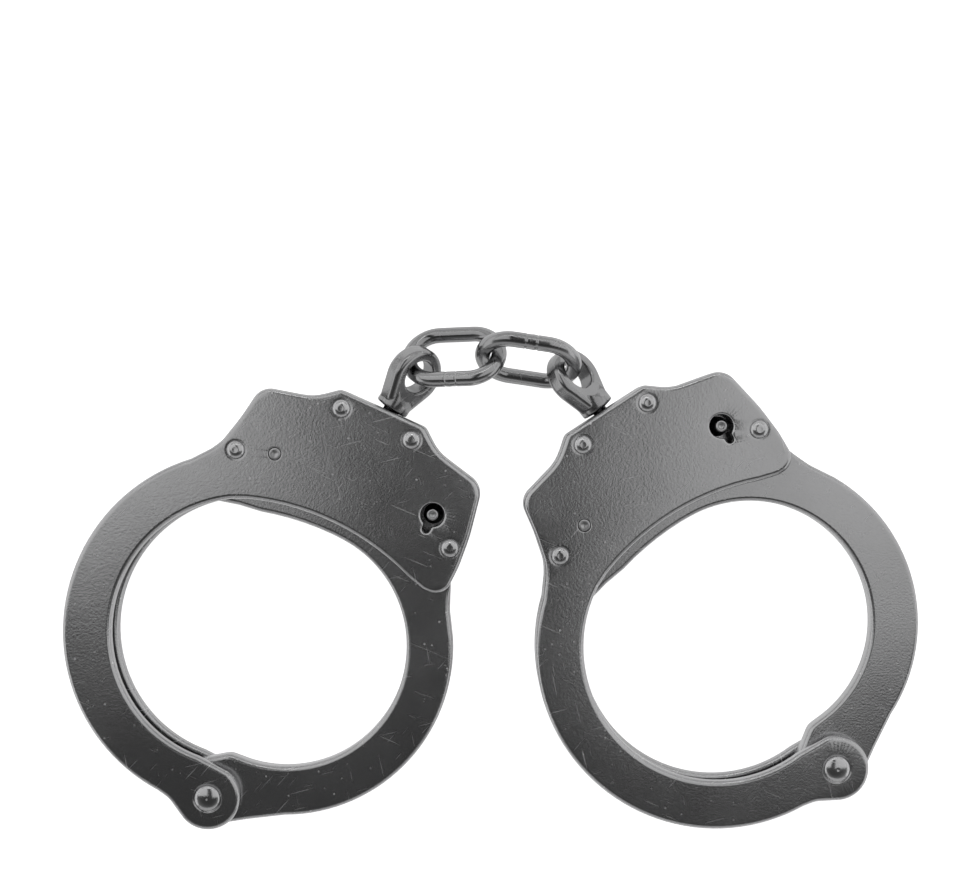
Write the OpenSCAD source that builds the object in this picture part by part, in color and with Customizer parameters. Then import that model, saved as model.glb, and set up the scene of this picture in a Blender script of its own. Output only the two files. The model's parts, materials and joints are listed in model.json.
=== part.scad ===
// Chain-linked handcuffs lying flat, closed, keyholes up.
// Millimetres. +X along the pair, +Y towards the chain, +Z up; z = 0 is the surface they rest on.
// Each cuff is drawn in its own frame: origin on the hinge rivet of the swinging strand,
// +Y from there to the swivel, and +X to the side on which the strand swings.

/* [Layout] */
// Hinge rivet of the left cuff, X
left_pivot_x = -57.82; // [-60:0.05:-56]
// Hinge rivet of the left cuff, Y
left_pivot_y = -44.83; // [-50:0.05:-40]
// Turn of the left cuff about its hinge rivet
left_turn = -24.2; // [-26:0.1:-22]
// Hinge rivet of the right cuff, X
right_pivot_x = 69.93; // [69:0.05:73]
// Hinge rivet of the right cuff, Y
right_pivot_y = -38.89; // [-45:0.05:-35]
// Turn of the right cuff about its hinge rivet
right_turn = 32.9; // [31:0.1:34]

/* [Plates] */
// Thickness of each cheek plate
plate_t = 2.5; // [2.3:0.05:2.6]
// Gap between the two cheek plates
gap_t = 4.2; // [4.1:0.05:4.4]
// Height of the case rivet heads above the plates
head_h = 1.0; // [0.8:0.05:1.2]
// Radius of the round lobe at the hinge rivet
lobe_r = 6.6; // [6.2:0.1:6.8]
// Outer radius of the fixed arm
arm_outer_r = 36.7; // [36.5:0.1:36.9]
// Inner radius of the fixed arm
arm_inner_r = 27.1; // [26.9:0.1:27.4]

/* [Strand] */
// Thickness of the swinging strand
strand_t = 3.8; // [3.6:0.05:3.9]
// Radius of the tooth tips about the hinge rivet
tooth_tip_r = 68.0; // [67.8:0.05:68.1]
// Depth of the ratchet teeth
tooth_depth = 1.3; // [1.1:0.05:1.4]
// Number of ratchet teeth
tooth_count = 22; // [18:1:22]
// Outer radius of the bow of the strand
strand_outer_r = 34.45; // [34.2:0.05:34.6]
// Inner radius of the bow of the strand
strand_inner_r = 24.67; // [24.4:0.05:24.9]

/* [Lock] */
// Radius of the keyhole
keyhole_r = 2.4; // [2.3:0.05:2.5]
// Radius of the key post
key_post_r = 1.15; // [1.05:0.05:1.2]
// Angle by which the pawl stands lifted off the teeth
pawl_lift = 5.5; // [5.3:0.1:5.6]
// Radius of the bore for the double-lock push pin
access_r = 1.2; // [1.0:0.05:1.3]

/* [Rivets] */
// Shank radius of the case rivets and the pawl pin
rivet_r = 1.3; // [1.2:0.05:1.35]
// Head radius of the case rivets
rivet_head_r = 1.85; // [1.75:0.05:1.95]
// Shank radius of the hinge rivet
hinge_r = 2.0; // [1.8:0.05:2.1]
// Head radius of the hinge rivet
hinge_head_r = 2.6; // [2.5:0.05:2.8]

/* [Chain] */
// Wire radius of the two links
wire_r = 1.6; // [1.5:0.05:1.6]
// Outer length of a link
link_l = 22; // [21.8:0.1:22.2]
// Outer width of a link
link_w = 15; // [14.8:0.1:15.2]
// Distance of the swivel eye's centre from the edge of its case
eye_reach = 9.0; // [8.8:0.1:9.2]
// Radius of the swivel shank
shank_r = 1.5; // [1.4:0.05:1.5]

/* [Hidden] */
$fn = 64;
back_z = head_h;
gap_z = back_z + plate_t;
front_z = gap_z + gap_t;
top_z = front_z + plate_t;
mid_z = gap_z + gap_t / 2;
fixed_clear = 0.03;      // between a rivet and its hole in a fixed part
running_clear = 0.06;    // between a pin and the part that turns on it
tooth_root_r = tooth_tip_r - tooth_depth;
tooth_pitch = 2;         // degrees
first_tooth = -21;       // degrees from +Y, positive towards -X
strand_clear_r = tooth_tip_r + 0.7;

case_top_y = 86.8;
arm_outer_c = [-7.35, 33.7];
arm_inner_c = [-7, 33.8];
strand_outer_c = [1.65, 33.8];
strand_inner_c = [1.7, 34.1];
strand_tip_r = 58.85;    // inner radius of the toothed end about the hinge rivet
case_rivets_at = [[-23.7, 66.8], [-7.6, 83.2], [8.0, 83.2], [24.1, 66.4]];
post_at = [18.1, 71.1];
pawl_pin_at = [-16.2, 69.3];
key_sweep_r = 4.8;       // room for the key's bit to turn round the post
access_y = 77.0;
slide_play = 0.1;        // between the lock parts and the plates, each side
lock_t = gap_t - 1.2;    // thickness of the slide and the two leaf springs

eye_ring_r = 4.7;        // middle of the eye's section, from the centre of its hole
eye_section = [2.8, 4.0];// width of the eye's section, and its height along the hole
eye_round = 1.2;         // rounding of that section
collar_r = 3.55;         // of the swivel, outside the case
left_roll = 48.7;        // turn of the left swivel about its shank
right_roll = 48.0;
sway_at_y = 79.8;        // a loose shank leans about this point, at the inner end of its hole
left_sway = -9.8;        // lean of the left swivel towards the right cuff
right_sway = 5.0;
left_link_at = [-7.88, 44.98, 5.99];
right_link_at = [7.34, 44.13, 7.83];
left_link_turn = [-36.7, -10.6, 1.6];
right_link_turn = [54.0, 0.3, -8.5];
access_mount_x = 24.0;   // middle of the push-pin hole's wall
access_len = 3.3;

// ---- outline helpers ----

// Point at radius r about the hinge rivet, a degrees from +Y towards -X
function polar(r, a) = [-r * sin(a), r * cos(a)];

// Points of an arc of radius r about c, from a0 to a1 degrees
function arc(c, r, a0, a1, step = 3) =
    let (n = max(2, ceil(abs(a1 - a0) / step)))
    [for (i = [0:n]) let (a = a0 + (a1 - a0) * i / n) c + r * [cos(a), sin(a)]];

function unit(v) = v / norm(v);

// Round of radius r at corner p between its neighbours a and b
function corner(a, p, b, r) =
    let (u = unit(a - p), v = unit(b - p), half = acos(u * v) / 2)
    r == 0 || half > 89 ? [p] :
    let (c = p + unit(u + v) * r / sin(half),
        s = p + u * r / tan(half) - c,
        e = p + v * r / tan(half) - c,
        a0 = atan2(s[1], s[0]),
        raw = atan2(e[1], e[0]) - a0,
        sweep = raw > 180 ? raw - 360 : raw < -180 ? raw + 360 : raw)
    arc(c, r, a0, a0 + sweep, 7.5);

function xy(p) = [p[0], p[1]];

// Closed outline whose corners [x, y, r] are rounded by r, or left sharp where r is missing
function rounded(corners) =
    let (n = len(corners))
    [for (i = [0:n - 1])
        each corner(xy(corners[(i + n - 1) % n]), xy(corners[i]), xy(corners[(i + 1) % n]),
            len(corners[i]) > 2 ? corners[i][2] : 0)];

// ---- placement ----

module left_cuff() {
    translate([left_pivot_x, left_pivot_y, 0]) rotate([0, 0, left_turn]) children();
}

module right_cuff() {
    translate([right_pivot_x, right_pivot_y, 0]) rotate([0, 0, right_turn]) children();
}

// Raise a flat shape to height z with thickness t
module slab(z, t) {
    translate([0, 0, z]) linear_extrude(t) children();
}

// ---- outlines in the frame of a cuff ----

// Cheek plate: case at the top, fixed arm down the -X side, lobe at the hinge rivet
cheek_outline = rounded(concat(
    arc([0, 0], lobe_r, -122, 76),
    arc(arm_inner_c, arm_inner_r, -86, -240),
    arc([-0.8, 9.35], 52, 109, 68),
    [[22.5, 56.45, 3], [27.0, 56.4, 3.4], [27.35, 63.5, 15], [26.9, 70, 30],
        [25.05, 80.6, 4.2], [13.8, 83.2, 10], [9.3, case_top_y, 2.2],
        [-9.3, case_top_y, 2.2], [-13.8, 83.2, 10], [-24.4, 80.7, 4],
        [-25.6, 73.4, 30], [-27.2, 67.2, 8], [-28.6, 64.9, 5]],
    arc(arm_outer_c, arm_outer_r, 131, 266),
    [[-7.2, -3.45, 6]]));

// Swinging strand with its ratchet teeth, closed position
strand_outline = rounded(concat(
    arc([0, 0], 6.3, 150, 296),
    [[9.2, -1.5, 16]],
    arc(strand_outer_c, strand_outer_r, -66, 27),
    [[29.4, 54.4, 9], [27.1, 60.0, 6], polar(tooth_root_r, first_tooth - 1.2)],
    [for (i = [0:tooth_count - 1], r = [tooth_root_r, tooth_tip_r])
        polar(r, first_tooth + i * tooth_pitch)],
    [polar(66.9, 24.6), concat(polar(64.6, 26.2), 1.4), concat(polar(60.7, 25.2), 2.2),
        polar(59.6, 18.5)],
    [for (a = [14:-3:-1]) polar(strand_tip_r, a)],
    arc(strand_inner_c, strand_inner_r, 86, -84),
    [[0.2, 9.3, 3.5], [-5.6, 5.2, 3]]));

// Pawl with its teeth in mesh
pawl_teeth = 4;
pawl_first_tooth = 1 - 0.15;
pawl_under_r = tooth_tip_r + 0.35;
pawl_outline = rounded(concat(
    [for (a = [11:-2:3]) polar(pawl_under_r, a)],
    [for (i = [0:pawl_teeth - 1], r = [pawl_under_r, tooth_root_r + 0.2])
        polar(r, pawl_first_tooth - i * tooth_pitch)],
    [for (a = [-7:-1.5:-10]) polar(pawl_under_r, a)],
    [[15.6, 69.2, 0.7], [15.5, 71.0, 0.8], [8.0, 72.4, 1], [7.4, 74.6, 0.4],
        [5.5, 74.6, 0.4], [5.1, 72.7, 1], [-4, 73.0, 20], [-14, 72.0]]));

// Space inside the case frame, above the swinging strand
cavity_outline = rounded([[-21.3, 60], [-21.3, 78.1, 1.5], [-8.4, 79.7, 1], [6.2, 79.7],
    [6.6, 80.2], [16.4, 80.2, 1], [22.3, 78.5, 0.8], [22.3, 76.0], [20.8, 76.0],
    [20.8, 74.4], [21.4, 73.8], [21.4, 60]]);

// Outline of a flat strip of width w along a path, mitred at its bends
function side_of(path, w) = [
    for (i = [0:len(path) - 1])
        let (back = unit(path[i] - path[max(i - 1, 0)] + (i == 0 ? path[1] - path[0] : [0, 0])),
            on = i == len(path) - 1 ? back : unit(path[i + 1] - path[i]),
            mid = unit(back + on))
        path[i] + [-mid[1], mid[0]] * w / 2 / (mid * on)];
function strip(path, w) = concat(side_of(path, -w), [for (i = [len(path) - 1:-1:0]) side_of(path, w)[i]]);

// ---- parts of one cuff ----

// Domed rivet head of radius r and height h with a small flat on top, standing on z = 0
module rivet_head(r, h, flat_r) {
    // the sphere passes through the rim of the head and the rim of its flat
    drop = (r * r - flat_r * flat_r - h * h) / (2 * h);
    ball_r = norm([r, drop]);
    intersection() {
        translate([0, 0, -drop]) sphere(ball_r);
        cylinder(h, r = r + 1);
    }
}

// Rivet through both plates, headed on each side
module rivet(shank, head, flat_r) {
    translate([0, 0, back_z]) cylinder(top_z - back_z, r = shank);
    translate([0, 0, top_z]) rivet_head(head, head_h, flat_r);
    translate([0, 0, back_z]) mirror([0, 0, 1]) rivet_head(head, head_h, flat_r);
}

module rivet_holes() {
    for (p = case_rivets_at) translate(p) circle(rivet_r + fixed_clear);
    translate(pawl_pin_at) circle(rivet_r + fixed_clear);
    circle(hinge_r + fixed_clear);
}

module front_plate() {
    slab(front_z, plate_t) difference() {
        polygon(cheek_outline);
        rivet_holes();
        translate(post_at) circle(keyhole_r);
        translate(post_at + [-0.8, -3.2]) square([1.6, 3.2]);
        translate(post_at + [0, -3.2]) circle(0.8);
    }
}

module back_plate() {
    slab(back_z, plate_t) difference() {
        polygon(cheek_outline);
        rivet_holes();
        translate(post_at) circle(key_post_r + fixed_clear);
    }
}

// Arch between the plates that carries the rivets, the swivel and the lock parts
module case_frame() {
    difference() {
        slab(gap_z, gap_t) difference() {
            intersection() {
                polygon(cheek_outline);
                translate([-40, 62.9]) square([80, 40]);
            }
            circle(strand_clear_r);
            polygon(cavity_outline);
            translate(post_at) circle(key_sweep_r);
            for (p = case_rivets_at) translate(p) circle(rivet_r + fixed_clear);
            polygon(strip(pawl_spring_path, leaf_t + 0.1));
        }
        // the swivel's hole flares outwards, so its shank can lean
        slab(mid_z - shank_r - 0.15, 2 * shank_r + 0.3)
            polygon([[-1.7, 75], [1.7, 75], [1.7, 80.4], [3.2, 88], [-3.2, 88], [-1.7, 80.4]]);
        translate([22, access_y, mid_z]) rotate([0, 90, 0]) cylinder(20, r = access_r);
    }
}

module case_rivets() {
    for (p = case_rivets_at) translate(p) rivet(rivet_r, rivet_head_r, 0.8);
}

module hinge_rivet() {
    rivet(hinge_r, hinge_head_r, 0.3);
}

// Post that locates the key, with a collar on the inside of the back plate
module key_post() {
    translate([post_at[0], post_at[1], back_z]) {
        cylinder(top_z - 0.2 - back_z, r = key_post_r);
        translate([0, 0, plate_t]) cylinder(0.9, r = key_post_r + 0.9);
    }
}

module pawl_pin() {
    translate([pawl_pin_at[0], pawl_pin_at[1], back_z]) cylinder(top_z - back_z, r = rivet_r);
}

module strand() {
    slab(mid_z - strand_t / 2, strand_t) difference() {
        polygon(strand_outline);
        circle(hinge_r + running_clear);
    }
}

// Shown lifted clear of the teeth
module pawl() {
    thickness = gap_t - 2 * slide_play;
    translate(pawl_pin_at) rotate([0, 0, pawl_lift]) translate(-pawl_pin_at)
        slab(mid_z - thickness / 2, thickness) difference() {
            union() {
                polygon(pawl_outline);
                translate(pawl_pin_at) circle(2.8);
            }
            translate(pawl_pin_at) circle(rivet_r + running_clear);
        }
}

leaf_t = 0.45;

// Leaf held in a slot of the frame, its free end just over the lifted pawl
pawl_spring_path = [[-23.2, 77.2], [-19, 77.4], [-11, 76.9], [-4.6, 75.2]];
module pawl_spring() {
    slab(mid_z - lock_t / 2, lock_t) polygon(strip(pawl_spring_path, leaf_t));
}

// Slide that covers the lug of the pawl when the cuff is double locked
module double_lock_slide() {
    slab(mid_z - lock_t / 2, lock_t) {
        polygon(rounded([[8.5, 75.7], [8.5, 78.3, 0.4], [17, 78.3, 0.4], [17, 77.9], [22.0, 77.9],
            [22.0, 76.1], [17, 76.1], [17, 74.7, 0.3], [15.4, 74.7, 0.3], [15.4, 75.7]]));
    }
}

// Bowed leaf between the slide and the roof of the frame
module double_lock_spring() {
    slab(mid_z - lock_t / 2, lock_t)
        polygon(strip([[9.0, 79.9], [11, 78.9], [12.6, 78.57], [14.2, 78.9], [16.2, 79.85]], leaf_t));
}

// Outline of the flat tang, inset all round: a disc about the eye, running down into the collar
function tang_outline(inset) = concat(
    arc([0, 0], eye_ring_r + eye_section[0] / 2 - inset, -23, 203),
    [for (s = [-1, 1]) [s * (collar_r - inset), 1.6 - eye_reach]]);

// Headed shank, collar and flat eye as one piece; its shank leans by sway, its eye is rolled
module swivel(roll, sway) {
    case_edge = case_top_y - sway_at_y;
    section = eye_section / 2 - [eye_round, eye_round];
    tang_half_t = section[1] + eye_round * 0.7;
    translate([0, sway_at_y, mid_z]) rotate([0, 0, sway]) {
        translate([0, case_edge + eye_reach, 0]) rotate([0, roll, 0]) {
            rotate_extrude() translate([eye_ring_r, 0]) {
                for (x = [-1, 1], y = [-1, 1])
                    translate([x * section[0], y * section[1]]) circle(eye_round);
                square([eye_section[0], 2 * section[1]], center = true);
                square([2 * section[0], eye_section[1]], center = true);
            }
            slab(-tang_half_t, 2 * tang_half_t) difference() {
                polygon(tang_outline(eye_round * 0.3));
                circle(eye_ring_r);
            }
        }
        rotate([-90, 0, 0]) rotate_extrude() polygon(rounded([
            [0, -2.4], [1.95, -2.4, 0.5], [1.95, -0.8, 0.3], [shank_r, -0.8],
            [shank_r, case_edge + 0.85], [collar_r, case_edge + 0.85, 0.4],
            [collar_r, case_edge + 2.9, 1.2], [2.4, case_edge + 4.6, 1], [0, case_edge + 4.6]]));
    }
}

// One welded link of round wire: a stadium in its own XY plane
module chain_link(at, turn) {
    bend_r = link_w / 2 - wire_r;
    half_run = (link_l - link_w) / 2;
    translate(at) rotate(turn) {
        for (s = [-1, 1]) {
            translate([s * half_run, 0, 0]) rotate([0, 0, -s * 90])
                rotate_extrude(angle = 180) translate([bend_r, 0]) circle(wire_r);
            translate([-half_run, s * bend_r, 0]) rotate([0, 90, 0])
                cylinder(2 * half_run, r = wire_r);
        }
    }
}

// ---- nodes ----

plate_colour = [0.60, 0.60, 0.61];
strand_colour = [0.55, 0.55, 0.56];
bright_colour = [0.72, 0.72, 0.74];
dark_colour = [0.35, 0.35, 0.37];

module left_front_plate() { color(plate_colour) left_cuff() front_plate(); }
module left_back_plate() { color(plate_colour) left_cuff() back_plate(); }
module left_case_frame() { color(dark_colour) left_cuff() case_frame(); }
module left_case_rivets() { color(bright_colour) left_cuff() case_rivets(); }
module left_hinge_rivet() { color(bright_colour) left_cuff() hinge_rivet(); }
module left_key_post() { color(bright_colour) left_cuff() key_post(); }
module left_pawl_pin() { color(plate_colour) left_cuff() pawl_pin(); }
module left_strand() { color(strand_colour) left_cuff() strand(); }
module left_pawl() { color(dark_colour) left_cuff() pawl(); }
module left_pawl_spring() { color(bright_colour) left_cuff() pawl_spring(); }
module left_double_lock_slide() { color(dark_colour) left_cuff() double_lock_slide(); }
module left_double_lock_spring() { color(bright_colour) left_cuff() double_lock_spring(); }
module left_swivel() { color(bright_colour) left_cuff() swivel(left_roll, left_sway); }
module left_chain_link() { color(bright_colour) chain_link(left_link_at, left_link_turn); }
module right_chain_link() { color(bright_colour) chain_link(right_link_at, right_link_turn); }
module right_front_plate() { color(plate_colour) right_cuff() front_plate(); }
module right_back_plate() { color(plate_colour) right_cuff() back_plate(); }
module right_case_frame() { color(dark_colour) right_cuff() case_frame(); }
module right_case_rivets() { color(bright_colour) right_cuff() case_rivets(); }
module right_hinge_rivet() { color(bright_colour) right_cuff() hinge_rivet(); }
module right_key_post() { color(bright_colour) right_cuff() key_post(); }
module right_pawl_pin() { color(plate_colour) right_cuff() pawl_pin(); }
module right_strand() { color(strand_colour) right_cuff() strand(); }
module right_pawl() { color(dark_colour) right_cuff() pawl(); }
module right_pawl_spring() { color(bright_colour) right_cuff() pawl_spring(); }
module right_double_lock_slide() { color(dark_colour) right_cuff() double_lock_slide(); }
module right_double_lock_spring() { color(bright_colour) right_cuff() double_lock_spring(); }
module right_swivel() { color(bright_colour) right_cuff() swivel(right_roll, right_sway); }

left_front_plate();
left_back_plate();
left_case_frame();
left_case_rivets();
left_hinge_rivet();
left_key_post();
left_pawl_pin();
left_strand();
left_pawl();
left_pawl_spring();
left_double_lock_slide();
left_double_lock_spring();
left_swivel();
left_chain_link();
right_chain_link();
right_front_plate();
right_back_plate();
right_case_frame();
right_case_rivets();
right_hinge_rivet();
right_key_post();
right_pawl_pin();
right_strand();
right_pawl();
right_pawl_spring();
right_double_lock_slide();
right_double_lock_spring();
right_swivel();
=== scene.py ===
"""Handcuffs lying flat, seen from straight above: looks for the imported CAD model."""
import json
import math

import bmesh
import bpy
from mathutils import Matrix, Vector, geometry, noise


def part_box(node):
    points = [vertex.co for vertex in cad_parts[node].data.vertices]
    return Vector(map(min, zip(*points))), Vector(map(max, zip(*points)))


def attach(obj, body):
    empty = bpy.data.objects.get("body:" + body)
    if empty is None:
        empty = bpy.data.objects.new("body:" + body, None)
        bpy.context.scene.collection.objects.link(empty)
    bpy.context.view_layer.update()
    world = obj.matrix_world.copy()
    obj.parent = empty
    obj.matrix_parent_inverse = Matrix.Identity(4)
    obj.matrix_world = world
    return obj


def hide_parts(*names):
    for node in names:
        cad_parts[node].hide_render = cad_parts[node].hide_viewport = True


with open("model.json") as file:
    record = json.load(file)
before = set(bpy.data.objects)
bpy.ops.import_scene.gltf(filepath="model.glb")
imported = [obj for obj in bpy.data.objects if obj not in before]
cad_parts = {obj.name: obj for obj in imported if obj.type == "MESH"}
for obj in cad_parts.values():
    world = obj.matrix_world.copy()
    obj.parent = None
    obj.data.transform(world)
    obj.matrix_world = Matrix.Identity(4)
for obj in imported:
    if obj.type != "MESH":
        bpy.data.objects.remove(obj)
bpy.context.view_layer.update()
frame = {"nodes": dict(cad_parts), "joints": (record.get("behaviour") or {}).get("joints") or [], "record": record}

MM = 0.001
SIDES = ("left", "right")
nodes = frame["nodes"]
joints = {j["name"]: j for j in frame["joints"]}


def joint_place(name):
    """(position, axis) of a joint at rest, in metres. A slide has no position."""
    j = joints[name]
    return Vector(j.get("pos_m", (0, 0, 0))), Vector(j["axis"]).normalized()


# ---------------------------------------------------------------- outlines taken from the frame

def cap_loops(node, top=True):
    """Closed outlines of a CAD plate's flat top or bottom face, in metres, the outer one first."""
    low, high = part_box(node)
    z = high[2] if top else low[2]
    mesh = nodes[node].data
    on = [abs(v.co.z - z) < 1e-6 for v in mesh.vertices]
    key = [tuple(round(c, 7) for c in v.co) for v in mesh.vertices]
    edges = {}
    for p in mesh.polygons:
        if all(on[i] for i in p.vertices):
            ring = list(p.vertices)
            for a, b in zip(ring, ring[1:] + ring[:1]):
                pair = (key[a], key[b])
                if (pair[1], pair[0]) in edges:
                    del edges[(pair[1], pair[0])]
                else:
                    edges[pair] = True
    follow = {a: b for a, b in edges}
    loops = []
    while follow:
        start = next(iter(follow))
        ring, at = [], start
        while at in follow:
            ring.append(Vector(at[:2]))
            at = follow.pop(at)
        loops.append(ring)
    loops.sort(key=lambda r: -abs(area(r)))
    return [simplify(r) for r in loops]


def area(ring):
    """Area of a closed outline, positive when it runs anticlockwise."""
    return sum(a.x * b.y - b.x * a.y for a, b in zip(ring, ring[1:] + ring[:1])) / 2


def simplify(ring, least=0.00002):
    """Drops points that double each other."""
    kept = []
    for p in ring:
        if not kept or (p - kept[-1]).length > least:
            kept.append(p)
    return kept


def divided(ring, longest):
    """The ring with its long edges divided."""
    out = []
    for a, b in zip(ring, ring[1:] + ring[:1]):
        n = max(1, math.ceil((b - a).length / longest))
        out += [a.lerp(b, i / n) for i in range(n)]
    return out


def offset(ring, distances):
    """The ring moved into the solid on its left by a distance for each point."""
    out = []
    n = len(ring)
    for i, p in enumerate(ring):
        u = (p - ring[i - 1]).normalized()
        v = (ring[(i + 1) % n] - p).normalized()
        nu, nv = Vector((-u.y, u.x)), Vector((-v.y, v.x))
        scale = 1 / max(0.5, 1 + nu.dot(nv))
        out.append(p + (nu + nv) * scale * distances[i])
    return out


def eased(ring, spacing, rounds):
    """The ring at an even spacing, with its corners softened."""
    ring = divided(ring, spacing)
    for _ in range(rounds):
        ring = [(ring[i - 1] + ring[i] * 2 + ring[(i + 1) % len(ring)]) / 4 for i in range(len(ring))]
    return simplify(ring)


def rounding(r, steps=6):
    """Edge profile from a flat face to a wall, as (inset, depth) pairs: a quarter round of radius r."""
    return [(r * (1 - math.sin(a)), r * (1 - math.cos(a)))
            for a in [i * math.pi / 2 / steps for i in range(steps + 1)]]


def rounded_plate(loops, z0, z1, edge):
    """Mesh of a flat plate between z0 and z1. edge(loop index, point, upper) gives its edge profile."""
    bm = bmesh.new()
    caps = ([], [])
    for k, ring in enumerate(loops):
        rings = []
        for upper in (False, True):
            profiles = [edge(k, p, upper) for p in ring]
            levels = range(len(profiles[0]))
            for level in reversed(levels) if upper else levels:
                flat = offset(ring, [q[level][0] for q in profiles])
                rings.append([bm.verts.new((p.x, p.y, z1 - q[level][1] if upper else z0 + q[level][1]))
                              for p, q in zip(flat, profiles)])
        n = len(ring)
        for lower, upper in zip(rings, rings[1:]):
            for i in range(n):
                j = (i + 1) % n
                bm.faces.new((lower[i], lower[j], upper[j], upper[i]))
        caps[0].append(rings[0])
        caps[1].append(rings[-1])
    for rings, flip in ((caps[0], True), (caps[1], False)):
        fill(bm, rings, flip)
    return bm


def inside(p, ring):
    """Whether point p lies in a closed outline."""
    odd = False
    for a, b in zip(ring, ring[1:] + ring[:1]):
        if (a.y > p.y) != (b.y > p.y) and p.x < a.x + (p.y - a.y) / (b.y - a.y) * (b.x - a.x):
            odd = not odd
    return odd


def fill(bm, rings, flip):
    """Fills the flat region between closed rings of vertices with triangles, leaving the holes open."""
    verts = [v for ring in rings for v in ring]
    faces, start = [], 0
    for ring in rings:
        faces.append(list(range(start, start + len(ring))))
        start += len(ring)
    flat = [Vector((v.co.x, v.co.y)) * 1000 for v in verts]
    holes = [[flat[i] for i in face] for face in faces[1:]]
    points, _, tris, source, _, _ = geometry.delaunay_2d_cdt(flat, [], faces, 1, 1e-6)
    for tri in tris:
        middle = (points[tri[0]] + points[tri[1]] + points[tri[2]]) / 3
        if any(inside(middle, hole) for hole in holes):
            continue
        for i in tri:
            if not source[i]:       # a crossing of two edges, which needs a vertex of its own
                verts.append(bm.verts.new((points[i].x / 1000, points[i].y / 1000, verts[0].co.z)))
                source[i].append(len(verts) - 1)
        corners = [verts[source[i][0]] for i in tri]
        if len(set(corners)) < 3:
            continue
        if flip:
            corners.reverse()
        bm.faces.new(corners)


def finished(name, bm, weighted=True):
    """Object of a mesh with smooth shading; weighted normals keep its flats flat beside rounded edges."""
    mesh = bpy.data.meshes.new(name)
    bm.to_mesh(mesh)
    bm.free()
    for p in mesh.polygons:
        p.use_smooth = True
    obj = bpy.data.objects.new(name, mesh)
    bpy.context.scene.collection.objects.link(obj)
    if weighted:
        normals = obj.modifiers.new("normals", "WEIGHTED_NORMAL")
        normals.weight = 100
    return obj


def lathe(bm, profile, place, segments=64):
    """Adds a closed turned solid. profile is (radius, height) pairs from end to end; place is a matrix."""
    rings = []
    for r, h in profile:
        if r < 1e-9:
            rings.append([bm.verts.new(place @ Vector((0, 0, h)))])
        else:
            rings.append([bm.verts.new(place @ Vector((r * math.cos(a), r * math.sin(a), h)))
                          for a in [2 * math.pi * i / segments for i in range(segments)]])
    for one, two in zip(rings, rings[1:]):
        for i in range(segments):
            j = (i + 1) % segments
            if len(one) == 1:
                bm.faces.new((one[0], two[i], two[j]))
            elif len(two) == 1:
                bm.faces.new((one[i], two[0], one[j]))
            else:
                bm.faces.new((one[i], two[i], two[j], one[j]))


# ---------------------------------------------------------------- materials

PATCHES, GRAIN, PITS, SCRATCHES = 45, 2400, 650, 110      # texture scales, per metre
SCRATCH_WAYS = ((0.4, 0.0), (1.35, 3.1), (2.3, 7.7), (2.9, 12.9))   # (direction in radians, seed)
SCRATCH_STRETCH = 24


def set_range(node, low, high, out_low, out_high):
    """Sets the ranges of a Map Range node."""
    for socket, value in zip(("From Min", "From Max", "To Min", "To Max"), (low, high, out_low, out_high)):
        node.inputs[socket].default_value = value


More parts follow.
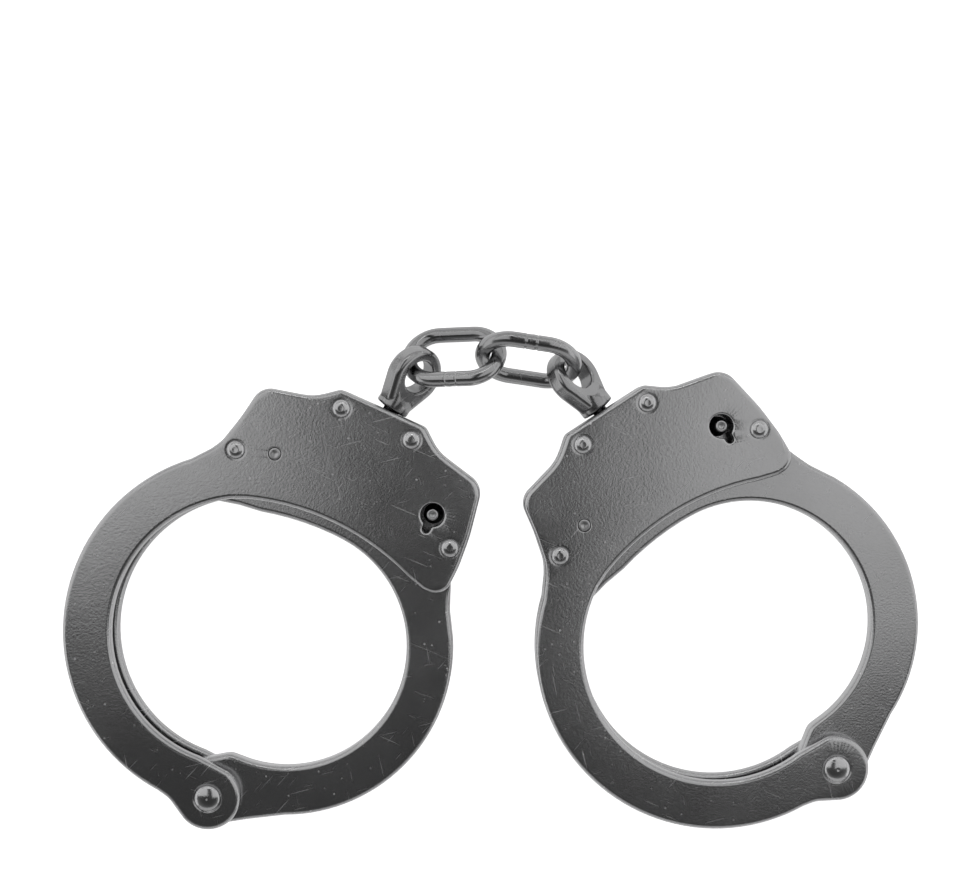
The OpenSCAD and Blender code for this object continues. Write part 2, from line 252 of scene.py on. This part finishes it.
def steel(name, tone, rough, grain, speckle, scratches, stain):
    """Nickelled steel. grain is the depth of its tumbled texture in mm.

    speckle and scratches say how much its pits and scratches catch the light, stain how much its tone
    changes in patches.
    """
    mat = bpy.data.materials.new(name)
    mat.use_nodes = True
    tree = mat.node_tree
    tree.nodes.clear()
    new, link = tree.nodes.new, tree.links.new
    out = new("ShaderNodeOutputMaterial")
    bsdf = new("ShaderNodeBsdfPrincipled")
    bsdf.inputs["Metallic"].default_value = 1.0
    link(bsdf.outputs[0], out.inputs[0])
    coord = new("ShaderNodeTexCoord")

    def texture(kind, scale, detail=2.0, vector=None):
        t = new(kind)
        t.inputs["Scale"].default_value = scale
        if kind == "ShaderNodeTexNoise":
            t.inputs["Detail"].default_value = detail
        link(vector or coord.outputs["Object"], t.inputs["Vector"])
        return t

    def ramp(source, low, high, out_low=0.0, out_high=1.0):
        m = new("ShaderNodeMapRange")
        set_range(m, low, high, out_low, out_high)
        link(source, m.inputs["Value"])
        return m.outputs["Result"]

    def maths(op, a, b):
        m = new("ShaderNodeMath")
        m.operation = op
        for socket, value in zip(m.inputs, (a, b)):
            if isinstance(value, (int, float)):
                socket.default_value = value
            else:
                link(value, socket)
        return m.outputs[0]

    patches = texture("ShaderNodeTexNoise", PATCHES, 3)
    tumbled = texture("ShaderNodeTexNoise", GRAIN, 2)
    # small pits and nicks, in some cells only
    pits = texture("ShaderNodeTexVoronoi", PITS)
    chosen = new("ShaderNodeSeparateColor")
    link(pits.outputs["Color"], chosen.inputs[0])
    pit = maths("MULTIPLY", ramp(pits.outputs["Distance"], 0.05, 0.17, 1.0, 0.0),
                ramp(chosen.outputs[0], 0.55, 0.95))
    # fine scratches: bands of noise drawn out along a few directions, each only in places
    marks = 0.0
    for turn, seed in SCRATCH_WAYS:
        turned_by, drawn_out = new("ShaderNodeMapping"), new("ShaderNodeMapping")
        turned_by.inputs["Rotation"].default_value = (0, 0, turn)
        drawn_out.inputs["Scale"].default_value = (1, SCRATCH_STRETCH, 1)
        drawn_out.inputs["Location"].default_value = (seed, seed * 0.7, 0)
        link(coord.outputs["Object"], turned_by.inputs["Vector"])
        link(turned_by.outputs[0], drawn_out.inputs["Vector"])
        t = texture("ShaderNodeTexNoise", SCRATCHES, 1, drawn_out.outputs[0])
        marks = maths("MAXIMUM", marks, ramp(t.outputs["Fac"], 0.73, 0.78))

    value = ramp(patches.outputs["Fac"], 0.3, 0.7, 1 - stain * 0.5, 1 + stain * 0.5)
    value = maths("ADD", value, maths("MULTIPLY", pit, speckle))
    value = maths("ADD", value, maths("MULTIPLY", marks, scratches))
    shade = maths("MULTIPLY", value, tone)
    colour = new("ShaderNodeCombineColor")
    for i, tint in enumerate((1.0, 1.0, 1.01)):
        link(maths("MULTIPLY", shade, tint), colour.inputs[i])
    link(colour.outputs[0], bsdf.inputs["Base Color"])
    spots = maths("ADD", maths("MULTIPLY", pit, 0.30), maths("MULTIPLY", marks, 0.18))
    link(maths("ADD", ramp(patches.outputs["Fac"], 0.3, 0.7, rough - 0.02, rough + 0.02), spots),
         bsdf.inputs["Roughness"])
    height = maths("SUBTRACT", tumbled.outputs["Fac"], maths("MULTIPLY", pit, 0.5))
    bump = new("ShaderNodeBump")
    bump.inputs["Strength"].default_value = 1.0
    bump.inputs["Distance"].default_value = grain * MM
    link(height, bump.inputs["Height"])
    link(bump.outputs[0], bsdf.inputs["Normal"])
    return mat


# tone, roughness, depth of grain in mm, speckle, scratches and stain of each finish
FINISHES = {
    "plate_steel": (0.46, 0.21, 0.020, 0.7, 0.25, 0.2),
    "strand_steel": (0.45, 0.22, 0.021, 0.7, 0.25, 0.2),
    "frame_steel": (0.36, 0.34, 0.03, 0.3, 0.2, 0.2),
    "rivet_steel": (0.52, 0.18, 0.008, 0.2, 0.2, 0.2),
    "pin_steel": (0.50, 0.30, 0.03, 0.3, 0.2, 0.2),
    "spring_steel": (0.40, 0.26, 0.012, 0.2, 0.2, 0.2),
    # lock_steel's low tone is painted shade: it darkens the lock parts so that the inside of the case, seen
    # through the keyhole, reads dark
    "lock_steel": (0.20, 0.34, 0.03, 0.4, 0.3, 0.2),
    "swivel_steel": (0.32, 0.19, 0.010, 0.4, 0.3, 0.3),
    "chain_steel": (0.36, 0.16, 0.006, 0.3, 0.2, 0.3),
}
MATERIALS = {name: steel(name, *finish) for name, finish in FINISHES.items()}
SLOT_OF = {s["node"]: s["material_slot"] for s in frame["record"]["subparts"]}
BODY_OF = {n: b for b, members in frame["record"]["behaviour"]["bodies"].items() for n in members}


def dress(obj, node):
    """Gives a new piece the finish, material slot and body of the CAD node that it replaces."""
    obj.data.materials.clear()
    obj.data.materials.append(MATERIALS[SLOT_OF[node]])
    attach(obj, BODY_OF[node])
    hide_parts(node)


# ---------------------------------------------------------------- pieces of each cuff

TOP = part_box("left_front_plate")[1][2]      # outer face of the front plates
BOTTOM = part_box("left_back_plate")[0][2]    # outer face of the back plates


def mm(pairs):
    """Pairs in mm, turned into metres."""
    return [(a * MM, b * MM) for a, b in pairs]


FACET = 1.2 * MM        # longest edge of an outline
BROKEN = 0.2 * MM       # edge radius where two pieces meet
# edge profiles, as (inset, depth) pairs from the flat face to the wall: a rivet's seat, the hinge's groove
DISH = mm([(1.05, 0), (0.95, 0.004), (0.8, 0.02), (0.66, 0.04), (0.4, 0.05), (0, 0.05)])
GROOVE = mm([(1.05, 0), (0.98, 0.012), (0.9, 0.06), (0.8, 0.14), (0.6, 0.15), (0, 0.15)])


def place_of(node):
    """Middle of a CAD node, seen from above."""
    low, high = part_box(node)
    return Vector(((low[0] + high[0]) / 2, (low[1] + high[1]) / 2))


def spread(ring):
    """Middle of a ring and its mean radius."""
    middle = sum(ring, Vector((0, 0))) / len(ring)
    return middle, sum((p - middle).length for p in ring) / len(ring)


def cheek_plate(side, face):
    """Cheek plate: rolled outer edge, dished rivet seats, a groove at the hinge, a coined keyhole."""
    node = f"{side}_{face}_plate"
    low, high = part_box(node)
    loops = [divided(r, FACET) for r in cap_loops(node)]
    hinge, pin, post = (place_of(f"{side}_{n}") for n in ("hinge_rivet", "pawl_pin", "key_post"))
    rolled, broken, coined = rounding(1.05 * MM), rounding(BROKEN), rounding(0.5 * MM)
    kinds = []              # (outer face, inner face) edge profile of each loop
    for k, ring in enumerate(loops):
        middle, _ = spread(ring)
        if k == 0:
            kinds.append((rolled, rolled))
        elif (middle - hinge).length < MM:
            kinds.append((GROOVE, broken))
        elif (middle - pin).length < 0.5 * MM:
            kinds.append((rounding(0.25 * MM), broken))
        elif (middle - post).length < 2 * MM:
            loops[k] = eased(ring, 0.15 * MM, 10)
            kinds.append((coined if face == "front" else broken, broken))
        else:
            kinds.append((DISH, broken))

    def edge(k, p, upper):
        outer = upper == (face == "front")
        return kinds[k][0 if outer else 1]

    obj = finished(node + "_skin", rounded_plate(loops, low[2], high[2], edge))
    dress(obj, node)


def strand(side):
    """Swinging strand: rolled edges along the bow, sharp ones at its teeth."""
    teeth_from, fade = 65.5 * MM, 1.5 * MM      # distance of the teeth from the hinge, and the change's width
    sharp, rolled = 0.12, 1.0                   # edge radii in mm
    node = f"{side}_strand"
    low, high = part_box(node)
    centre = place_of(f"{side}_hinge_rivet")

    def edge(k, p, upper):
        r = (p - centre).length
        along_bow = min(1.0, max(0.0, (teeth_from - r) / fade))
        return rounding((sharp + (rolled - sharp) * along_bow) * MM if k == 0 else sharp * MM)

    loops = [divided(r, FACET) for r in cap_loops(node)]
    obj = finished(node + "_skin", rounded_plate(loops, low[2], high[2], edge))
    dress(obj, node)


def head(r, flat, dimple):
    """Upper half of a rivet's profile above its seat, from the axis out, in mm."""
    height, brim = 1.0, 0.08
    start = math.asin(flat / r)
    dome = [(r * math.sin(t), brim + (height - brim) * math.cos(t) / math.cos(start))
            for t in [start + (math.pi / 2 - start) * i / 12 for i in range(13)]]
    centre = [(0, height - dimple), (flat * 0.55, height - dimple * 0.9), (flat * 0.8, height - dimple * 0.3)]
    return centre + dome + [(r - 0.02, 0.0), (r - 0.06, -0.14), (r - 0.8, -0.15)]


def turned(name, node, halves, places):
    """Replaces a CAD node by turned solids. halves is the (upper, lower) profile from axis to shank."""
    upper, lower = halves
    profile = ([(r * MM, TOP + h * MM) for r, h in upper]
               + [(r * MM, BOTTOM - h * MM) for r, h in reversed(lower)])
    bm = bmesh.new()
    for place in places:
        lathe(bm, profile, Matrix.Translation((place.x, place.y, 0)))
    bmesh.ops.recalc_face_normals(bm, faces=bm.faces)
    obj = finished(name, bm, weighted=False)
    dress(obj, node)


def fasteners(side):
    """Case rivets, hinge rivet, key post and pawl pin."""
    bore = 1.33 * MM        # radius of the rivets' and the pin's bores
    pin, post, hinge = (place_of(f"{side}_{n}") for n in ("pawl_pin", "key_post", "hinge_rivet"))
    seats = []
    for ring in cap_loops(f"{side}_back_plate")[1:]:
        middle, radius = spread(ring)
        if abs(radius - bore) < 0.1 * MM and (middle - pin).length > MM:
            seats.append(middle)
    small = head(1.85, 0.7, 0.025)
    turned(f"{side}_rivet_heads", f"{side}_case_rivets", (small, small), seats)
    dome = head(2.6, 0.2, 0.05)
    turned(f"{side}_hinge_dome", f"{side}_hinge_rivet", (dome, dome), [hinge])
    flush = [(0, -0.22), (0.35, -0.2), (0.6, -0.12), (0.95, -0.1), (1.12, -0.13), (1.2, -0.22),
             (1.28, -0.4)]
    turned(f"{side}_pin_ends", f"{side}_pawl_pin", (flush, flush), [pin])
    dished = [(0, -0.75), (0.5, -0.75), (0.62, -0.6), (0.68, -0.28), (0.74, -0.21), (0.92, -0.2),
              (1.05, -0.23), (1.12, -0.3), (1.15, -0.42), (1.15, -5.7), (2.05, -5.8), (2.05, -6.7),
              (1.15, -6.7)]
    lower = [(0, 0.0), (1.1, 0.0), (1.15, -0.05)]
    turned(f"{side}_post_dished", f"{side}_key_post", (dished, lower), [post])


# ---------------------------------------------------------------- chain

def place_of_link(node):
    """Matrix of a link's own frame, with its length, width and thickness, from its CAD mesh."""
    points = [v.co.copy() for v in nodes[node].data.vertices]
    middle = sum(points, Vector()) / len(points)
    long_axis = max((p - middle for p in points), key=lambda d: d.length).normalized()
    for _ in range(20):     # power iteration on the vertices' spread
        long_axis = sum(((p - middle) * (p - middle).dot(long_axis) for p in points), Vector()).normalized()
    side_axis = long_axis.orthogonal().normalized()
    for _ in range(60):
        side_axis = sum(((p - middle) * (p - middle).dot(side_axis) for p in points), Vector())
        side_axis = (side_axis - long_axis * side_axis.dot(long_axis)).normalized()
    normal = long_axis.cross(side_axis)
    sizes = [max((p - middle).dot(a) for p in points) - min((p - middle).dot(a) for p in points)
             for a in (long_axis, side_axis, normal)]
    m = Matrix((long_axis, side_axis, normal)).transposed().to_4x4()
    m.translation = middle
    return m, sizes


RUN_STEPS, BEND_STEPS, WIRE_STEPS = 80, 64, 40     # divisions of a straight, a bend and the wire's round
FAR = 9 * MM                                       # from the weld, on the parts of a link that have none


def weld_dents(near):
    """Depth in mm of the two grooves beside a weld, near mm along the wire from its middle."""
    return 0.10 * (math.exp(-((near - 1.15) / 0.16) ** 2) + math.exp(-((near + 1.05) / 0.13) ** 2))


def weld_share(near):
    """1 in the rough metal between those grooves, falling to 0 outside them."""
    return 1 / (1 + math.exp((abs(near) - 1.1) * 8))


def chain_link(node, weld_up):
    """Link of drawn wire with an upset butt weld in the middle of one side."""
    place, (length, width, thick) = place_of_link(node)
    if place.to_3x3().col[1].y < 0:     # own +Y is the side nearer the top of the picture
        place = place @ Matrix.Rotation(math.pi, 4, "Z")
    wire = thick / 2
    bend, half_run = width / 2 - wire, (length - width) / 2
    stations = []           # (point on the wire's axis, angle out of the link, distance from the weld)
    for s in (1, -1):
        for i in range(RUN_STEPS):
            x = half_run - 2 * half_run * i / RUN_STEPS
            stations.append((Vector((s * x, s * bend, 0)), math.pi / 2 * s, x if (s > 0) == weld_up else FAR))
        for i in range(BEND_STEPS):
            t = s * math.pi / 2 + math.pi * i / BEND_STEPS
            out = Vector((math.cos(t), math.sin(t), 0))
            stations.append((Vector((-s * half_run, 0, 0)) + bend * out, t, FAR))
    bm = bmesh.new()
    rings = []
    for centre, t, from_weld in stations:
        out = Vector((math.cos(t), math.sin(t), 0))
        near = from_weld / MM
        ring = []
        for i in range(WIRE_STEPS):
            a = 2 * math.pi * i / WIRE_STEPS
            d = out * math.cos(a) + Vector((0, 0, math.sin(a)))
            rough = 0.05 * noise.noise(Vector((near * 1.6, math.cos(a) * 1.5, math.sin(a) * 1.5)))
            drawn = 0.02 * noise.noise(centre * 250 + d * 0.8)
            r = wire + MM * (drawn - weld_dents(near) + (rough - 0.02) * weld_share(near)) - 0.01 * MM
            ring.append(bm.verts.new(place @ (centre + d * r)))
        rings.append(ring)
    for one, two in zip(rings, rings[1:] + rings[:1]):
        for i in range(WIRE_STEPS):
            j = (i + 1) % WIRE_STEPS
            bm.faces.new((one[i], one[j], two[j], two[i]))
    bmesh.ops.recalc_face_normals(bm, faces=bm.faces)
    dress(finished(node + "_wire", bm, weighted=False), node)


EYE_R, TANG_HALF_T = 6.1 * MM, 2.0 * MM            # outer radius of the eye, half the tang's thickness
HOLE_R, HOLE_SHIFT = 3.52 * MM, 0.2 * MM           # eye's hole, and how far it sits towards the tip
COLLAR_LOW = 7.85 * MM                             # lower face of the collar, just off the case
FLANK = 3.5 * MM                                   # half the tang's width at the collar
EYE_FROM, EYE_SWEEP = -23, 226                     # degrees of the eye's outer arc
# turned shank, collar and root of the tang, as (radius, height) pairs in mm
SHANK = [(0, -2.4), (1.6, -2.4), (1.85, -2.3), (1.95, -2.1), (1.95, -1.1), (1.85, -0.85), (1.5, -0.8),
         (1.5, 7.4), (3.1, 7.68), (3.35, 7.78), (3.5, 7.92), (3.55, 8.15), (3.55, 9.6), (3.5, 10.6),
         (3.35, 11.4), (3.0, 12.2), (2.4, 12.6), (0, 12.7)]
# cone that cuts one forged flat out of that root, and its distance from the eye's centre
FLAT_CONE, CONE_BACK = [(0, 1.97), (3.6, 1.97), (5.4, 4.2), (0, 4.2)], 1.9 * MM


def eye_frame(side):
    """Matrix of the eye, with Y along the shank and Z along its hole, and its distance from the joint."""
    origin, axis = joint_place(f"{side}_swivel_spin")
    points = [v.co - origin for v in nodes[f"{side}_swivel"].data.vertices]
    if sum(p.dot(axis) for p in points) < 0:
        axis = -axis
    eye = max(p.dot(axis) for p in points) - EYE_R
    across = axis.orthogonal().normalized()
    other = axis.cross(across)

    def direction(a):
        return across * math.cos(a) + other * math.sin(a)

    def thickness(a):
        return max(abs(p.dot(direction(a))) for p in points if p.dot(axis) > eye + MM)

    normal = direction(min((math.pi * i / 720 for i in range(720)), key=thickness))
    if normal.z < 0:
        normal = -normal
    place = Matrix((axis.cross(normal), axis, normal)).transposed().to_4x4()
    place.translation = origin + axis * eye
    return place, eye


def tang(place, eye):
    """Mesh of the flat tang, with its rounded rim and the eye's hole."""
    corner = Vector((FLANK, COLLAR_LOW - eye + 0.9 * MM))
    tip = [Vector((EYE_R * math.cos(a), EYE_R * math.sin(a)))
           for a in [math.radians(EYE_FROM + EYE_SWEEP * i / 72) for i in range(73)]]
    outline = divided([corner] + tip + [Vector((-corner.x, corner.y))], 0.5 * MM)
    hole = [Vector((HOLE_R * math.cos(a), HOLE_SHIFT - HOLE_R * math.sin(a)))
            for a in [2 * math.pi * i / 64 for i in range(64)]]
    rim, sink = rounding(1.15 * MM, 8), rounding(0.55 * MM, 5)
    bm = rounded_plate([outline, hole], -TANG_HALF_T, TANG_HALF_T, lambda k, p, upper: sink if k else rim)
    bm.transform(place)
    return bm


def cut_away(obj, cutter):
    """Cuts a mesh out of an object, for good."""
    cutter_obj = finished(obj.name + "_cutter", cutter, weighted=False)
    cut = obj.modifiers.new("flats", "BOOLEAN")
    cut.operation = "DIFFERENCE"
    cut.object = cutter_obj
    cut.solver = "EXACT"
    bpy.context.view_layer.update()
    shaped = bpy.data.meshes.new_from_object(obj.evaluated_get(bpy.context.evaluated_depsgraph_get()))
    obj.modifiers.clear()
    obj.data = shaped
    bpy.data.objects.remove(cutter_obj)


def swivel(side):
    """Swivel: a round shank and collar, forged into a flat tang with an eye."""
    node = f"{side}_swivel"
    place, eye = eye_frame(side)
    dress(finished(node + "_tang", tang(place, eye)), node)
    turning = place @ Matrix.Rotation(-math.pi / 2, 4, "X")     # its Z runs along the shank
    bar = bmesh.new()
    lathe(bar, mm(SHANK), turning @ Matrix.Translation((0, 0, -eye)))
    bmesh.ops.recalc_face_normals(bar, faces=bar.faces)
    bar_obj = finished(node + "_collar", bar)
    cones = bmesh.new()
    for turn in (0, math.pi):
        lathe(cones, mm(FLAT_CONE),
              place @ Matrix.Translation((0, -CONE_BACK, 0)) @ Matrix.Rotation(turn, 4, "X"))
    bmesh.ops.recalc_face_normals(cones, faces=cones.faces)
    cut_away(bar_obj, cones)
    split = bar_obj.modifiers.new("edges", "EDGE_SPLIT")
    split.split_angle = math.radians(35)
    dress(bar_obj, node)


# ---------------------------------------------------------------- build

for side in SIDES:
    cheek_plate(side, "front")
    cheek_plate(side, "back")
    strand(side)
    fasteners(side)
    swivel(side)
chain_link("left_chain_link", weld_up=False)
chain_link("right_chain_link", weld_up=True)

for name, obj in nodes.items():
    obj.data.materials.clear()
    obj.data.materials.append(MATERIALS[SLOT_OF[name]])


# ---------------------------------------------------------------- floor, light, camera

FLOOR_GLOW, FLOOR_FAR = 0.95, 0.45      # emission round the object, and far from it
FLOOR_NEAR_R, FLOOR_FAR_R = 0.17, 1.1   # where the first ends and the second begins, in metres
FLOOR_MIRRORED = 0.4                    # emission that everything but the camera sees
ROOM_ABOVE, ROOM_LOW = 0.06, 0.22       # strength of the world above, and near the horizon
BACKDROP = 0.75                         # strength of the world that the camera sees


def floor():
    """Pale floor that glows. The metal mirrors a dimmer floor than the white one in the picture."""
    bpy.ops.mesh.primitive_plane_add(size=12, location=(0, 0, -0.05 * MM))
    plane = bpy.context.object
    plane.name = "floor"
    mat = bpy.data.materials.new("floor")
    mat.use_nodes = True
    shader = mat.node_tree.nodes["Principled BSDF"]
    shader.inputs["Base Color"].default_value = (0.9, 0.9, 0.9, 1)
    shader.inputs["Roughness"].default_value = 0.9
    shader.inputs["Emission Color"].default_value = (1, 1, 1, 1)
    new, link = mat.node_tree.nodes.new, mat.node_tree.links.new
    coord, length, fall = new("ShaderNodeTexCoord"), new("ShaderNodeVectorMath"), new("ShaderNodeMapRange")
    length.operation = "LENGTH"
    fall.interpolation_type = "SMOOTHSTEP"
    set_range(fall, FLOOR_NEAR_R, FLOOR_FAR_R, FLOOR_GLOW, FLOOR_FAR)
    path, glow = new("ShaderNodeLightPath"), new("ShaderNodeMapRange")
    glow.inputs["To Min"].default_value = FLOOR_MIRRORED
    link(coord.outputs["Object"], length.inputs[0])
    link(length.outputs["Value"], fall.inputs["Value"])
    link(path.outputs["Is Camera Ray"], glow.inputs["Value"])
    link(fall.outputs["Result"], glow.inputs["To Max"])
    link(glow.outputs["Result"], shader.inputs["Emission Strength"])
    plane.data.materials.append(mat)


def soft_box(name, place, size, radiance, target=None):
    """Soft box of a given radiance. It faces straight down, or its target."""
    data = bpy.data.lights.new(name, "AREA")
    data.shape = "RECTANGLE"
    data.size, data.size_y = size
    data.energy = radiance * math.pi * size[0] * size[1]
    obj = bpy.data.objects.new(name, data)
    obj.location = place
    if target:
        obj.rotation_euler = (Vector(target) - Vector(place)).to_track_quat("-Z", "Y").to_euler()
    obj.visible_camera = False
    bpy.context.scene.collection.objects.link(obj)


def room():
    """Dim room for the metal to mirror, lighter near the horizon, with a pale backdrop for the camera."""
    world = bpy.data.worlds.new("studio")
    world.use_nodes = True
    background = world.node_tree.nodes["Background"]
    background.inputs["Color"].default_value = (1, 1, 1, 1)
    new, link = world.node_tree.nodes.new, world.node_tree.links.new
    coord, height = new("ShaderNodeTexCoord"), new("ShaderNodeSeparateXYZ")
    by_height = new("ShaderNodeMapRange")
    set_range(by_height, 0.85, 0.55, ROOM_ABOVE, ROOM_LOW)      # height is 1 straight up
    path, strength = new("ShaderNodeLightPath"), new("ShaderNodeMapRange")
    strength.inputs["To Max"].default_value = BACKDROP
    link(coord.outputs["Generated"], height.inputs["Vector"])
    link(height.outputs["Z"], by_height.inputs["Value"])
    link(path.outputs["Is Camera Ray"], strength.inputs["Value"])
    link(by_height.outputs["Result"], strength.inputs["To Min"])
    link(strength.outputs["Result"], background.inputs["Strength"])
    bpy.context.scene.world = world


floor()
# two boxes overhead, one for each cuff, with a dark gap between them, and a bright strip behind
soft_box("box_left", (-0.69, 0.46, 0.9), (1.07, 1.08), 0.73)
soft_box("box_right", (0.67, 0.42, 0.9), (1.12, 1.16), 0.69)
soft_box("strip_top", (-0.03, 0.95, 0.9), (1.6, 0.22), 2.6)
# four low walls of light round the table
soft_box("wall_top", (0, 1.35, 0.5), (2.6, 0.8), 0.5, (0, 0, 0.3))
soft_box("wall_left", (-1.4, 0.1, 0.5), (2.6, 0.8), 0.75, (0, 0.1, 0.3))
soft_box("wall_right", (1.4, 0.1, 0.5), (2.6, 0.8), 0.7, (0, 0.1, 0.3))
soft_box("wall_front", (0, -1.35, 0.55), (2.6, 0.9), 0.35, (0, 0, 0.3))
room()
bpy.context.scene.view_settings.view_transform = "Standard"

PICTURE_W = 979
SENSOR = 36              # width of the camera's sensor in mm
PX_PER_MM = 4.93         # at the top faces of the cases
VIEW_HEIGHT = 0.30       # camera above those faces
VIEW_CENTRE = (-0.58 * MM, 27.61 * MM)
camera_data = bpy.data.cameras.new("camera")
camera_data.sensor_width = SENSOR
camera_data.lens = VIEW_HEIGHT * SENSOR / (PICTURE_W / PX_PER_MM * MM)
camera_data.clip_start = 0.01
camera = bpy.data.objects.new("camera", camera_data)
camera.location = (*VIEW_CENTRE, TOP + VIEW_HEIGHT)
bpy.context.scene.collection.objects.link(camera)
bpy.context.scene.camera = camera
